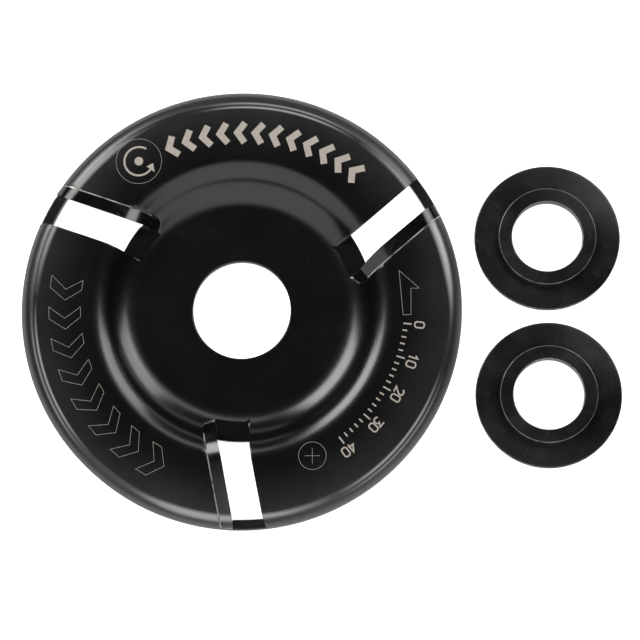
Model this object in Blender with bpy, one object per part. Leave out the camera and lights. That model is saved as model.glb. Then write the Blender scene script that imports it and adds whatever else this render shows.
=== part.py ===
"""Carving disc for an angle grinder, with two loose reducing rings beside it.

The disc lies on its back with its working side up. All sizes are in metres. The origin is
the middle of the ground that the disc and the rings cover together, with +Z up.
"""

import math

import bmesh
import bpy

# Disc body: overall sizes and the turned upper surface
DISC_DIAMETER = 0.100
BORE_DIAMETER = 0.0222
HUB_THICKNESS = 0.0022
HUB_FLAT_RADIUS = 0.0225
CREST_RADIUS = 0.0350
CREST_HEIGHT = 0.0070
FOOT_RADIUS = 0.0106
CROWN_FALL = 0.0004
SHOULDER_RADIUS = 0.0035
RIM_CHAMFER = 0.0004
BORE_CHAMFER = 0.0003

# Disc body: the groove in its back
GROOVE_INNER_RADIUS = 0.0300
RIM_WALL = 0.0022
GROOVE_FILLET = 0.0006

# Slots: each crosses the ridge along a line beside the disc's axis
SLOT_COUNT = 3
FIRST_SLOT_ANGLE = math.radians(40.67)
EDGE_OFFSET = 0.01045
SLOT_GAP = 0.00655
SLOT_WALL_LEAN = math.radians(10.0)
POCKET_FLOOR_ABOVE_HUB = 0.0005
WINDOW_OVERCUT = 0.0003
SEAT_DROP = 0.0004
SEAT_INNER_END = 0.0240
SEAT_CORNER_RADIUS = 0.0014
WEB_SET_BACK = 0.00105
WEB_THICKNESS = 0.0050

# Carbide tips and the braze foils under and behind them
TIP_THICKNESS = 0.0028
TIP_INNER_END = 0.0263
TIP_PROUD = 0.0010
TIP_LEAST_HEIGHT = 0.0003
RAKE_ANGLE = math.radians(7.0)
FOIL_THICKNESS = 0.00025
FOIL_CLEARANCE = 0.00005
FOIL_BELOW_SURFACE = 0.00005

# Reducing rings: the spigot fits the disc's bore
RING_BORE_DIAMETER = 0.0160
RING_FLANGE_DIAMETER = 0.0331
RING_FLANGE_THICKNESS = 0.0015
SPIGOT_CLEARANCE = 0.0001
SPIGOT_SHORT_OF_HUB = 0.0002
RING_CHAMFER = 0.00025
RING_LAY_GAP = 0.0029
RING_PAIR_GAP = 0.0029
RING_PAIR_MIDDLE_Y = -0.00155

# Facets
DISC_STEPS = 96
RING_STEPS = 64
SLOPE_STEPS = 6
CROWN_STEPS = 3
SHOULDER_STEPS = 7
FILLET_STEPS = 3
STATION_MARGIN = 0.0003
FIT_PASSES = 4
SMOOTH_ANGLE = math.radians(30.0)

# Cutters run this far past the faces they cut, and into each other
CUTTER_REACH = 0.004
CUTTER_OVERLAP = 0.0001

# Sizes that follow from the ones above
DISC_RADIUS = DISC_DIAMETER / 2
FLANGE_RADIUS = RING_FLANGE_DIAMETER / 2
GROOVE_OUTER_RADIUS = DISC_RADIUS - RIM_WALL
POCKET_FLOOR = HUB_THICKNESS + POCKET_FLOOR_ABOVE_HUB
GROOVE_DEPTH = POCKET_FLOOR + WINDOW_OVERCUT
SEAT_FLOOR = POCKET_FLOOR - SEAT_DROP
BRAZE_GAP = FOIL_THICKNESS + 2 * FOIL_CLEARANCE
TIP_FLOOR = SEAT_FLOOR + BRAZE_GAP
TIP_END_HEIGHT = TIP_FLOOR + TIP_LEAST_HEIGHT
TIP_BACK = -(EDGE_OFFSET + TIP_THICKNESS)
SEAT_WALL = TIP_BACK - BRAZE_GAP
SLOT_FAR_WALL = SLOT_GAP - EDGE_OFFSET
OVERALL_HEIGHT = CREST_HEIGHT + TIP_PROUD
CUTTER_TOP = OVERALL_HEIGHT + CUTTER_REACH
CUTTER_END = DISC_RADIUS + CUTTER_REACH
CUTTER_START = HUB_FLAT_RADIUS - CUTTER_REACH

# The slope between hub and ridge is two tangent arcs, the foot and the brow
SLOPE_RUN = CREST_RADIUS - HUB_FLAT_RADIUS
SLOPE_RISE = CREST_HEIGHT - HUB_THICKNESS
SLOPE_ANGLE = 2 * math.atan2(SLOPE_RISE, SLOPE_RUN)
BROW_RADIUS = SLOPE_RUN / math.sin(SLOPE_ANGLE) - FOOT_RADIUS
SLOPE_TURN_RADIUS = HUB_FLAT_RADIUS + FOOT_RADIUS * math.sin(SLOPE_ANGLE)

# The shoulder arc is tangent to the ridge's crown and to the upright rim
CROWN_RUN = DISC_RADIUS - SHOULDER_RADIUS - CREST_RADIUS
CROWN_RADIUS = (CROWN_RUN**2 + CROWN_FALL**2) / (2 * CROWN_FALL) + SHOULDER_RADIUS
CROWN_ANGLE = math.asin(CROWN_RUN / (CROWN_RADIUS - SHOULDER_RADIUS))
CROWN_CENTRE_HEIGHT = CREST_HEIGHT - CROWN_RADIUS
SHOULDER_CENTRE_RADIUS = DISC_RADIUS - SHOULDER_RADIUS
SHOULDER_CENTRE_HEIGHT = CREST_HEIGHT - CROWN_FALL - SHOULDER_RADIUS
SHOULDER_START_RADIUS = CREST_RADIUS + CROWN_RADIUS * math.sin(CROWN_ANGLE)
RIM_EDGE = min(RIM_CHAMFER, SHOULDER_CENTRE_HEIGHT / 2)

# Where the pieces lie
RING_FROM_DISC_X = DISC_RADIUS + RING_LAY_GAP + FLANGE_RADIUS
DISC_X = (DISC_RADIUS - RING_FROM_DISC_X - FLANGE_RADIUS) / 2
RING_X = DISC_X + RING_FROM_DISC_X
RING_HALF_SPACING = FLANGE_RADIUS + RING_PAIR_GAP / 2


def clear_scene():
    """Remove every object that the file opened with."""
    for old in list(bpy.data.objects):
        bpy.data.objects.remove(old, do_unlink=True)


def arc(centre, radius, start, end, steps):
    """Points of an arc in a plane, both ends included."""
    points = []
    for i in range(steps + 1):
        angle = start + (end - start) * i / steps
        points.append((centre[0] + radius * math.cos(angle), centre[1] + radius * math.sin(angle)))
    return points


def top_height(radius):
    """Height of the turned upper surface at a distance from the disc's axis."""
    if radius <= HUB_FLAT_RADIUS:
        return HUB_THICKNESS
    if radius <= SLOPE_TURN_RADIUS:
        out = radius - HUB_FLAT_RADIUS
        return HUB_THICKNESS + FOOT_RADIUS - math.sqrt(FOOT_RADIUS**2 - out**2)
    if radius <= CREST_RADIUS:
        back = CREST_RADIUS - radius
        return CREST_HEIGHT - BROW_RADIUS + math.sqrt(BROW_RADIUS**2 - back**2)
    if radius <= SHOULDER_START_RADIUS:
        out = radius - CREST_RADIUS
        return CROWN_CENTRE_HEIGHT + math.sqrt(CROWN_RADIUS**2 - out**2)
    out = min(radius - SHOULDER_CENTRE_RADIUS, SHOULDER_RADIUS)
    return SHOULDER_CENTRE_HEIGHT + math.sqrt(SHOULDER_RADIUS**2 - out**2)


def radius_at_height(height):
    """Distance from the axis at which the shoulder has come down to a height."""
    up = height - SHOULDER_CENTRE_HEIGHT
    return SHOULDER_CENTRE_RADIUS + math.sqrt(SHOULDER_RADIUS**2 - up**2)


def mesh_from(name, bm):
    """Finish a bmesh as a mesh with its faces pointing out and its round faces smooth."""
    bm.normal_update()
    bmesh.ops.recalc_face_normals(bm, faces=bm.faces)
    mesh = bpy.data.meshes.new(name)
    bm.to_mesh(mesh)
    bm.free()
    mesh.shade_smooth()
    mesh.set_sharp_from_angle(angle=SMOOTH_ANGLE)
    return mesh


def turned(name, profile, steps):
    """Turn a closed (radius, height) outline round the Z axis."""
    bm = bmesh.new()
    verts = [bm.verts.new((radius, 0.0, height)) for radius, height in profile]
    edges = [bm.edges.new((verts[i - 1], verts[i])) for i in range(len(verts))]
    bmesh.ops.spin(
        bm,
        geom=verts + edges,
        cent=(0.0, 0.0, 0.0),
        axis=(0.0, 0.0, 1.0),
        angle=2 * math.pi,
        steps=steps,
        use_merge=True,
    )
    return mesh_from(name, bm)


def block(name, low, high):
    """A cuboid between two corners."""
    bm = bmesh.new()
    bmesh.ops.create_cube(bm, size=1.0)
    for vert in bm.verts:
        for axis in range(3):
            middle = (low[axis] + high[axis]) / 2
            vert.co[axis] = middle + vert.co[axis] * (high[axis] - low[axis])
    return mesh_from(name, bm)


def lofted(name, sections):
    """Join closed sections that have the same number of corners, and cap both ends."""
    bm = bmesh.new()
    rings = [[bm.verts.new(point) for point in section] for section in sections]
    corners = len(rings[0])
    for near, far in zip(rings, rings[1:]):
        for i in range(corners):
            bm.faces.new((near[i - 1], near[i], far[i], far[i - 1]))
    bm.faces.new(rings[0])
    bm.faces.new(rings[-1])
    return mesh_from(name, bm)


def finish(name, colour, roughness, metallic):
    """A plain finish for one piece."""
    material = bpy.data.materials.new(name)
    material.use_nodes = True
    shader = material.node_tree.nodes["Principled BSDF"]
    shader.inputs["Base Color"].default_value = (*colour, 1.0)
    shader.inputs["Roughness"].default_value = roughness
    shader.inputs["Metallic"].default_value = metallic
    return material


def put(name, mesh, parent=None, turn=0.0, place=(0.0, 0.0, 0.0)):
    """Put a mesh in the scene as a named object."""
    piece = bpy.data.objects.new(name, mesh)
    bpy.context.scene.collection.objects.link(piece)
    piece.parent = parent
    piece.location = place
    piece.rotation_euler[2] = turn
    return piece


def put_cutter(name, mesh, parent, turn=0.0):
    """Put a tool shape in the scene that is not a piece itself."""
    cutter = put(name, mesh, parent, turn)
    cutter.hide_render = True
    cutter.display_type = "WIRE"
    return cutter


def cut(piece, cutter):
    """Take the cutter's shape out of a piece."""
    modifier = piece.modifiers.new(cutter.name, "BOOLEAN")
    modifier.operation = "DIFFERENCE"
    modifier.solver = "EXACT"
    modifier.object = cutter


def upper_profile():
    """The turned upper surface from the rim inwards: shoulder, crown, brow and foot."""
    shoulder_centre = (SHOULDER_CENTRE_RADIUS, SHOULDER_CENTRE_HEIGHT)
    crown_centre = (CREST_RADIUS, CROWN_CENTRE_HEIGHT)
    brow_centre = (CREST_RADIUS, CREST_HEIGHT - BROW_RADIUS)
    foot_centre = (HUB_FLAT_RADIUS, HUB_THICKNESS + FOOT_RADIUS)
    up = math.pi / 2
    points = arc(shoulder_centre, SHOULDER_RADIUS, 0.0, up - CROWN_ANGLE, SHOULDER_STEPS)
    points += arc(crown_centre, CROWN_RADIUS, up - CROWN_ANGLE, up, CROWN_STEPS)[1:]
    points += arc(brow_centre, BROW_RADIUS, up, up + SLOPE_ANGLE, SLOPE_STEPS)[1:]
    points += arc(foot_centre, FOOT_RADIUS, SLOPE_ANGLE - up, -up, SLOPE_STEPS)[1:]
    return points


def disc_profile():
    """Outline of the disc body: bore, back, rim, upper surface and hub."""
    bore = BORE_DIAMETER / 2
    back = [
        (bore, BORE_CHAMFER),
        (bore + BORE_CHAMFER, 0.0),
        (DISC_RADIUS - RIM_EDGE, 0.0),
        (DISC_RADIUS, RIM_EDGE),
    ]
    hub = [(bore + BORE_CHAMFER, HUB_THICKNESS), (bore, HUB_THICKNESS - BORE_CHAMFER)]
    return back + upper_profile() + hub


def groove_profile():
    """Outline of the groove in the back, with round inner corners."""
    up = math.pi / 2
    corner_height = GROOVE_DEPTH - GROOVE_FILLET
    outer_corner = (GROOVE_OUTER_RADIUS - GROOVE_FILLET, corner_height)
    inner_corner = (GROOVE_INNER_RADIUS + GROOVE_FILLET, corner_height)
    points = [(GROOVE_INNER_RADIUS, -CUTTER_REACH), (GROOVE_OUTER_RADIUS, -CUTTER_REACH)]
    points += arc(outer_corner, GROOVE_FILLET, 0.0, up, FILLET_STEPS)
    points += arc(inner_corner, GROOVE_FILLET, up, 2 * up, FILLET_STEPS)
    return points


def ring_profile():
    """Outline of a reducing ring: flange below, spigot above, straight bore."""
    bore = RING_BORE_DIAMETER / 2
    spigot = (BORE_DIAMETER - SPIGOT_CLEARANCE) / 2
    top = RING_FLANGE_THICKNESS + HUB_THICKNESS - SPIGOT_SHORT_OF_HUB
    return [
        (bore, RING_CHAMFER),
        (bore + RING_CHAMFER, 0.0),
        (FLANGE_RADIUS - RING_CHAMFER, 0.0),
        (FLANGE_RADIUS, RING_CHAMFER),
        (FLANGE_RADIUS, RING_FLANGE_THICKNESS - RING_CHAMFER),
        (FLANGE_RADIUS - RING_CHAMFER, RING_FLANGE_THICKNESS),
        (spigot, RING_FLANGE_THICKNESS),
        (spigot, top - RING_CHAMFER),
        (spigot - RING_CHAMFER, top),
        (bore + RING_CHAMFER, top),
        (bore, top - RING_CHAMFER),
    ]


def along_slot(radius, across):
    """Distance along a slot, from the line square to it, of a point at a radius."""
    return math.sqrt(radius**2 - across**2)


def station_radii(inner, rim):
    """Distances from the axis of a tip's sections: its inner end, each turned ring and the rim."""
    low = math.hypot(TIP_INNER_END, TIP_BACK) + STATION_MARGIN
    high = radius_at_height(TIP_END_HEIGHT) - STATION_MARGIN
    rings = sorted(radius for radius, _ in upper_profile() if low < radius < high)
    return [inner] + rings + [rim]


def rake_across(height):
    """Distance of the leaning rake face from the slot's axis line at a height."""
    return -EDGE_OFFSET - (OVERALL_HEIGHT - height) * math.tan(RAKE_ANGLE)


def edge_point(radius):
    """Cutting edge at a distance from the disc's axis: it stands proud, on the rake face."""
    height = top_height(radius) + TIP_PROUD
    across = rake_across(height)
    return (along_slot(radius, across), across, height)


def inner_edge_radius():
    """Distance from the disc's axis to the cutting edge at the tip's inner end."""
    radius = math.hypot(TIP_INNER_END, EDGE_OFFSET)
    for _ in range(FIT_PASSES):
        radius = math.hypot(TIP_INNER_END, edge_point(radius)[1])
    return radius


def tip_sections():
    """Sections of a carbide tip from its inner end to the rim, in the slot's own frame.

    Its top is flush with the ridge at the back and stands proud at the cutting edge.
    """
    back_inner = math.hypot(TIP_INNER_END, TIP_BACK)
    back_radii = station_radii(back_inner, radius_at_height(TIP_END_HEIGHT))
    edge_radii = station_radii(inner_edge_radius(), radius_at_height(TIP_END_HEIGHT - TIP_PROUD))
    sections = []
    for back_radius, edge_radius in zip(back_radii, edge_radii):
        back = along_slot(back_radius, TIP_BACK)
        edge = edge_point(edge_radius)
        sections.append(
            [
                (back, TIP_BACK, TIP_FLOOR),
                (back, TIP_BACK, top_height(back_radius)),
                edge,
                (edge[0], rake_across(TIP_FLOOR), TIP_FLOOR),
            ]
        )
    return sections


def foil_sections():
    """Sections of the L-shaped braze foil behind and under a tip, in the slot's own frame."""
    outer = SEAT_WALL + FOIL_CLEARANCE
    inner = outer + FOIL_THICKNESS
    front = -EDGE_OFFSET - WEB_SET_BACK - FOIL_CLEARANCE
    low = SEAT_FLOOR + FOIL_CLEARANCE
    high = low + FOIL_THICKNESS
    sections = []
    for radius in station_radii(math.hypot(TIP_INNER_END, outer), radius_at_height(TIP_END_HEIGHT)):
        along = along_slot(radius, outer)
        top = top_height(radius) - FOIL_BELOW_SURFACE
        sections.append(
            [
                (along, outer, low),
                (along, outer, top),
                (along, inner, top),
                (along, inner, high),
                (along, front, high),
                (along, front, low),
            ]
        )
    return sections


def make_groove_cutter(axis, slot_angles):
    """The turned groove, broken by a web of steel that stays under each tip."""
    groove = put_cutter("groove_cutter", turned("groove_cutter", groove_profile(), DISC_STEPS), axis)
    web_front = -EDGE_OFFSET - WEB_SET_BACK
    low = (CUTTER_START, web_front - WEB_THICKNESS, -2 * CUTTER_REACH)
    high = (CUTTER_END, web_front, CUTTER_TOP)
    web = block("web_keeper", low, high)
    for i, angle in enumerate(slot_angles, 1):
        cut(groove, put_cutter(f"web_keeper_{i}", web, axis, angle))
    return groove


def seat_sections():
    """Both ends of the seat cutter, whose inner corner is round as a milling cutter leaves it."""
    corner = (SEAT_INNER_END + SEAT_CORNER_RADIUS, SEAT_WALL + SEAT_CORNER_RADIUS)
    outline = [(CUTTER_END, -EDGE_OFFSET), (SEAT_INNER_END, -EDGE_OFFSET)]
    outline += arc(corner, SEAT_CORNER_RADIUS, math.pi, 3 * math.pi / 2, FILLET_STEPS)
    outline.append((CUTTER_END, SEAT_WALL))
    return [[(along, across, up) for along, across in outline] for up in (SEAT_FLOOR, CUTTER_TOP)]


def pocket_sections():
    """Both ends of the pocket cutter, whose far wall leans back under the ridge to clear shavings."""
    near_wall = -EDGE_OFFSET - CUTTER_OVERLAP
    sections = []
    for up in (POCKET_FLOOR, CUTTER_TOP):
        far_wall = SLOT_FAR_WALL + (CREST_HEIGHT - up) * math.tan(SLOT_WALL_LEAN)
        outline = [
            (CUTTER_START, near_wall),
            (CUTTER_END, near_wall),
            (CUTTER_END, far_wall),
            (CUTTER_START, far_wall),
        ]
        sections.append([(along, across, up) for along, across in outline])
    return sections


def make_disc_body(axis, slot_angles):
    """Turned body, with a pocket and a tip's seat across the ridge in each slot."""
    body = put("disc_body", turned("disc_body", disc_profile(), DISC_STEPS), axis)
    body.data.materials.append(finish("coated_steel", (0.012, 0.012, 0.013), 0.32, 0.0))
    pocket = lofted("pocket_cutter", pocket_sections())
    seat = lofted("seat_cutter", seat_sections())
    for i, angle in enumerate(slot_angles, 1):
        cut(body, put_cutter(f"pocket_cutter_{i}", pocket, axis, angle))
        cut(body, put_cutter(f"seat_cutter_{i}", seat, axis, angle))
    cut(body, make_groove_cutter(axis, slot_angles))


def make_tips(axis, slot_angles):
    """A carbide tip and its braze foil in each slot."""
    tip = lofted("carbide_tip", tip_sections())
    tip.materials.append(finish("coated_carbide", (0.016, 0.016, 0.018), 0.35, 0.3))
    foil = lofted("braze_foil", foil_sections())
    foil.materials.append(finish("braze_alloy", (0.36, 0.33, 0.27), 0.35, 1.0))
    for i, angle in enumerate(slot_angles, 1):
        put(f"carbide_tip_{i}", tip, axis, angle)
        put(f"braze_foil_{i}", foil, axis, angle)


def make_rings():
    """Two reducing rings, each lying on its flange with its origin on its own axis."""
    ring = turned("reducing_ring", ring_profile(), RING_STEPS)
    ring.materials.append(finish("blackened_steel", (0.014, 0.014, 0.015), 0.4, 0.2))
    for i, side in enumerate((1, -1), 1):
        place = (RING_X, RING_PAIR_MIDDLE_Y + side * RING_HALF_SPACING, 0.0)
        put(f"reducing_ring_{i}", ring, place=place)


def main():
    clear_scene()
    slot_angles = [FIRST_SLOT_ANGLE + 2 * math.pi * i / SLOT_COUNT for i in range(SLOT_COUNT)]
    axis = put("disc_axis", None, place=(DISC_X, 0.0, 0.0))
    make_disc_body(axis, slot_angles)
    make_tips(axis, slot_angles)
    make_rings()


main()
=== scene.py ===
"""Looks of a carving disc for an angle grinder and its two loose reducing rings.

All sizes are in metres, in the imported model's frame: +Z up, the disc on its back.
"""

import math

import bmesh
import bpy
from mathutils import Matrix, Vector
from mathutils.kdtree import KDTree


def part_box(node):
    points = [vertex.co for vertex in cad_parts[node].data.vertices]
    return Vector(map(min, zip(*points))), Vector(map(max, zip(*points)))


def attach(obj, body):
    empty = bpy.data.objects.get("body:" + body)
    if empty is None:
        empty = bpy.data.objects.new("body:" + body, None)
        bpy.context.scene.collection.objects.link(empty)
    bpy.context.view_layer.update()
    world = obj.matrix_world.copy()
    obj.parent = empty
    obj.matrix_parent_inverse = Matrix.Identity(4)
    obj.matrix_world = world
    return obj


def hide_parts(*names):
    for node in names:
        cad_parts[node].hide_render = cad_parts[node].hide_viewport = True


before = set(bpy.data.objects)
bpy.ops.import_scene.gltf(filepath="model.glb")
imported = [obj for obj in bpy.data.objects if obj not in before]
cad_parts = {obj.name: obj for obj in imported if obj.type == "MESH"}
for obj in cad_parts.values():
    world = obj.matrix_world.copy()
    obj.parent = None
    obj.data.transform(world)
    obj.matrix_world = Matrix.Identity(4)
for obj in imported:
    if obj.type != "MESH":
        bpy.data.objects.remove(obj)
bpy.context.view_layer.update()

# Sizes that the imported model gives
DISC_LOW, DISC_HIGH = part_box("disc_body")
DISC_AXIS = (DISC_LOW + DISC_HIGH) / 2
DISC_RADIUS = (DISC_HIGH.x - DISC_LOW.x) / 2
CREST_HEIGHT = DISC_HIGH.z
OVERALL_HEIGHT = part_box("carbide_tip_1")[1].z

# Disc body: the turned surfaces
BORE_RADIUS = 0.0111
HUB_THICKNESS = 0.0022
HUB_FLAT_RADIUS = 0.0225
CREST_RADIUS = 0.0350
FOOT_RADIUS = 0.0106
CROWN_FALL = 0.0004
SHOULDER_RADIUS = 0.0035
RIM_ROUND = 0.0004
BORE_ROUND = 0.0003
GROOVE_INNER_RADIUS = 0.0300
RIM_WALL = 0.0022
GROOVE_OUTER_RADIUS = DISC_RADIUS - RIM_WALL
GROOVE_DEPTH = 0.0030
GROOVE_FILLET = 0.0006

# Slots, in a frame turned to each slot: along it, across it and up
SLOTS = 3
FIRST_SLOT = 40.67
SLOT_ANGLES = [math.radians(FIRST_SLOT + 360.0 / SLOTS * i) for i in range(SLOTS)]
EDGE_OFFSET = 0.01045
SLOT_FAR_WALL = -0.0039
SLOT_WALL_LEAN = math.radians(10.0)
POCKET_FLOOR = 0.0027
SEAT_FLOOR = 0.0023
SEAT_WALL = -0.0136
SEAT_INNER_END = 0.0240
SEAT_CORNER_RADIUS = 0.0014
WEB_FRONT = -0.0115
WEB_THICKNESS = 0.0050
CUTTER_REACH = 0.004
CUTTER_OVERLAP = 0.0001

# Carbide tips and the braze round them
TIP_BACK = -0.01325
TIP_FLOOR = 0.00265
TIP_INNER_END = 0.0263
TIP_PROUD = 0.0010
TIP_END_WALL = 0.0003
TIP_END_HEIGHT = TIP_FLOOR + TIP_END_WALL
RAKE_ANGLE = math.radians(7.0)
BRAZE_THICKNESS = 0.00025
BRAZE_CLEARANCE = 0.00005

# Reducing rings
RING_BORE_RADIUS = 0.0080
RING_FLANGE_THICKNESS = 0.0015
SPIGOT_RADIUS = 0.01105
FLANGE_DOME_RADIUS = 0.12
FLANGE_ROOT_LEAN = math.radians(1.0)
RING_ROUND = 0.00025
LEVEL_OR_UPRIGHT = 0.02

# Etched marks: flat lines and fills on the ridge, sizes in metres and angles in degrees
MARK_LIFT = 0.00001
MARK_SINK = 0.00003
MARK_STEP = 0.0008
SAME_PLACE = 0.00001
LEAST_MITRE_COSINE = 0.4
FINE_LINE = 0.00007
NUMBER_LINE = 0.00034
CHEVRON_LINE = 0.00150
CHEVRON_RADIUS = 0.0401
CHEVRON_REACH = 0.0017
CHEVRON_HALF_HEIGHT = 0.0023
CHEVRONS = 12
FIRST_CHEVRON = 51.0
CHEVRON_STEP = 5.75
CHEVRON_ANGLES = [FIRST_CHEVRON + CHEVRON_STEP * i for i in range(CHEVRONS)]
ARROWHEAD_RADIUS = 0.0398
ARROWHEADS = 8
FIRST_ARROWHEAD = 174.0
ARROWHEAD_STEP = 9.6
ARROWHEAD_ANGLES = [FIRST_ARROWHEAD + ARROWHEAD_STEP * i for i in range(ARROWHEADS)]
ARROWHEAD_OUTLINE = [
    (-0.0027, 0.0036),
    (-0.0002, 0.0036),
    (0.0024, 0.0),
    (-0.0002, -0.0036),
    (-0.0027, -0.0036),
    (-0.0001, 0.0),
]
TURN_MARK_PLACE = (0.0409, 124.7)
TURN_MARK_RADIUS = 0.0052
TURN_ARC_RADIUS = 0.0033
TURN_ARC_START = 60.0
TURN_ARC_SWEEP = 270.0
TURN_ARC_LINE = 0.00045
TURN_HEAD_TIP = 352.0
TURN_HEAD_BACK = 325.0
TURN_HEAD_SPREAD = (1.35, 0.65)
TURN_DOT_RADIUS = 0.0010
CENTRE_MARK_PLACE = (0.0374, -64.3)
CENTRE_MARK_RADIUS = 0.0031
CENTRE_MARK_REACH = 0.0017
POINTER_OUTLINE = [
    (0.0367, 12.9),
    (0.0405, 5.9),
    (0.03865, 6.1),
    (0.0385, -2.8),
    (0.0367, -3.0),
]
SCALE_START = -6.0
SCALE_STEP = -2.35
SCALE_TICKS = 21
SCALE_RADIUS = 0.0369
SHORT_TICK = 0.0011
LONG_TICK = 0.0019
TICKS_PER_NUMBER = 5
COUNT_PER_TICK = 2
NUMBER_RADIUS = 0.0395
NUMBER_HEIGHT = 0.0021

# Digits drawn with straight strokes, in parts of their height
DIGIT_PITCH = 0.80
DIGIT_WIDTH = 0.6
DIGITS = {
    "0": [
        (0.15, 0), (0.45, 0), (0.6, 0.15), (0.6, 0.85), (0.45, 1),
        (0.15, 1), (0, 0.85), (0, 0.15), (0.15, 0),
    ],
    "1": [(0.1, 0.75), (0.35, 1), (0.35, 0)],
    "2": [(0, 0.82), (0.15, 1), (0.45, 1), (0.6, 0.85), (0.6, 0.62), (0, 0), (0.6, 0)],
    "3": [
        (0, 1), (0.6, 1), (0.3, 0.6), (0.45, 0.6), (0.6, 0.45),
        (0.6, 0.15), (0.45, 0), (0.15, 0), (0, 0.15),
    ],
    "4": [(0.45, 0), (0.45, 1), (0, 0.3), (0.6, 0.3)],
}

# Finishes: colours
COAT_BLACK = (0.0021, 0.0021, 0.0022)
# Painted sheen: the coat paler towards the rim
COAT_PAINTED_SHEEN = (0.0132, 0.0132, 0.0130)
# Pale grey of fine scratches, and of the painted highlight on the rim's shoulder
SCRATCH_AND_HIGHLIGHT_GREY = (0.26, 0.26, 0.25)
COAT_MATT = (0.10, 0.10, 0.098)
BARE_STEEL = (0.42, 0.41, 0.40)
BRAZE_COATED = (0.020, 0.020, 0.020)
BRAZE_BRIGHT = (0.42, 0.415, 0.40)
RING_BLACK = (0.0018, 0.0018, 0.0019)
RING_DULLED = (0.010, 0.010, 0.010)
ETCHED_PALE = (0.36, 0.325, 0.28)
ETCHED_DARK = (0.26, 0.228, 0.195)

# Finishes: how the coat changes towards the rim
# Radii over which the painted sheen comes in
SHEEN_RADII = (0.036, 0.048)
MATT_FROM = 0.0482
MATT_ROUGHNESS = 0.3
ROUGHENED_RADII = (0.0468, 0.0480)
SHOULDER_ROUGHNESS = 0.14
WORN_ROUGHNESS = 0.15

# Finishes: the painted highlight on the shoulder, a pale band, with the turn from slot to slot going
# from 0 to 1
HIGHLIGHT_RADIUS = 0.0472
HIGHLIGHT_OFF_AXIS = (0.00031, -0.00071)
HIGHLIGHT_START = SLOT_ANGLES[0] - math.radians(9.0)
HIGHLIGHT_BEFORE_TIP = (0.64, 0.88)
HIGHLIGHT_REACH = 0.0012
HIGHLIGHT_LEAST_REACH = 0.0004
HIGHLIGHT_AFTER_TIP = (0.23, 0.03)
HIGHLIGHT_TRAIL_REACH = 0.0009
HIGHLIGHT_TRAIL_OPENS = 0.1
HIGHLIGHT_TRAIL_SHIFT = -0.0004
HIGHLIGHT_SHIFTS = (0.35, 0.60)
HIGHLIGHT_FADE = 0.0010
HIGHLIGHT_LINES_BEGIN = (0.19, 0.34)
HIGHLIGHT_LINES_END = (0.61, 0.46)
HIGHLIGHT_LINE_SPACING = 0.00088
HIGHLIGHT_LINE_HALF_WIDTH = 0.00042
HIGHLIGHT_OUTER_LINE = 0.6
FULL_EFFECT_HEIGHT = 0.0044

# Finishes: grain, and scuffs as a turn with waves to the metre along and across it
NOISE_SPAN = (0.3, 0.7)
RELIEF_DEPTH = 0.00002
BRAZE_RELIEF_DEPTH = 0.00003
LATHE_IN_COAT = 0.6
RIPPLE_IN_LATHE = 0.4
FAINT_SCRATCHES = 0.5
SCUFF_WAYS = ((0.6, 150.0, 5200.0), (-0.9, 210.0, 6900.0), (1.9, 180.0, 6100.0))

# The mix node's sockets for colours, which share their names with those for other values
MIX_FACTOR = 0
MIX_FIRST = 6
MIX_SECOND = 7
MIX_RESULT = 2

# Studio: floor, lamps and camera
FLOOR_SIZE = 12.0
FLOOR_GAP = 0.00005
FLOOR_COLOUR = (0.8, 0.8, 0.8, 1.0)
FLOOR_ROUGHNESS = 0.9
FLOOR_GLOW = 0.86
REFLECTED_GLOW = 0.25
STUDIO_CENTRE = Vector((DISC_AXIS.x, DISC_AXIS.y, 0.004))
STUDIO_RADIUS = 0.7
STUDIO_DIMNESS = (0.02, 0.02, 0.02, 1.0)
WATTS_PER_RADIANCE = 4.0
VIEW_WIDTH = 0.1450
CAMERA_DISTANCE = 0.667
CAMERA_AZIMUTH = math.radians(11.5)
CAMERA_ELEVATION = math.radians(81.7)
CAMERA_SENSOR_MM = 36.0
CAMERA_AIM = Vector((-0.00018, -0.00247, 0.0030))

# Facets and eased edges
DISC_STEPS = 288
RING_STEPS = 192
ARC_STEPS = 16
ROUND_STEPS = 4
TIP_STATIONS = 40
EDGE_ROUNDS = 4
TURN_MARK_STEPS = 64
TURN_ARC_STEPS = 40
TURN_DOT_STEPS = 20
CENTRE_MARK_STEPS = 48
SHARP_ANGLE = math.radians(34.0)
LEVEL_ANGLE = math.radians(0.5)
EASED_EDGE = 0.00016
WELD_REACH = 0.0004
NO_LENGTH = WELD_REACH / 100

# The slope between hub and ridge is two tangent arcs, the foot and the brow
SLOPE_RUN = CREST_RADIUS - HUB_FLAT_RADIUS
SLOPE_ANGLE = 2 * math.atan2(CREST_HEIGHT - HUB_THICKNESS, SLOPE_RUN)
BROW_RADIUS = SLOPE_RUN / math.sin(SLOPE_ANGLE) - FOOT_RADIUS
SLOPE_TURN_RADIUS = HUB_FLAT_RADIUS + FOOT_RADIUS * math.sin(SLOPE_ANGLE)

# The shoulder arc is tangent to the ridge's crown and to the upright rim
SHOULDER_CENTRE_RADIUS = DISC_RADIUS - SHOULDER_RADIUS
SHOULDER_CENTRE_HEIGHT = CREST_HEIGHT - CROWN_FALL - SHOULDER_RADIUS
CROWN_RUN = SHOULDER_CENTRE_RADIUS - CREST_RADIUS
CROWN_RADIUS = (CROWN_RUN**2 + CROWN_FALL**2) / (2 * CROWN_FALL) + SHOULDER_RADIUS
CROWN_ANGLE = math.asin(CROWN_RUN / (CROWN_RADIUS - SHOULDER_RADIUS))
CROWN_CENTRE_HEIGHT = CREST_HEIGHT - CROWN_RADIUS
SHOULDER_START_RADIUS = CREST_RADIUS + CROWN_RADIUS * math.sin(CROWN_ANGLE)

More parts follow.
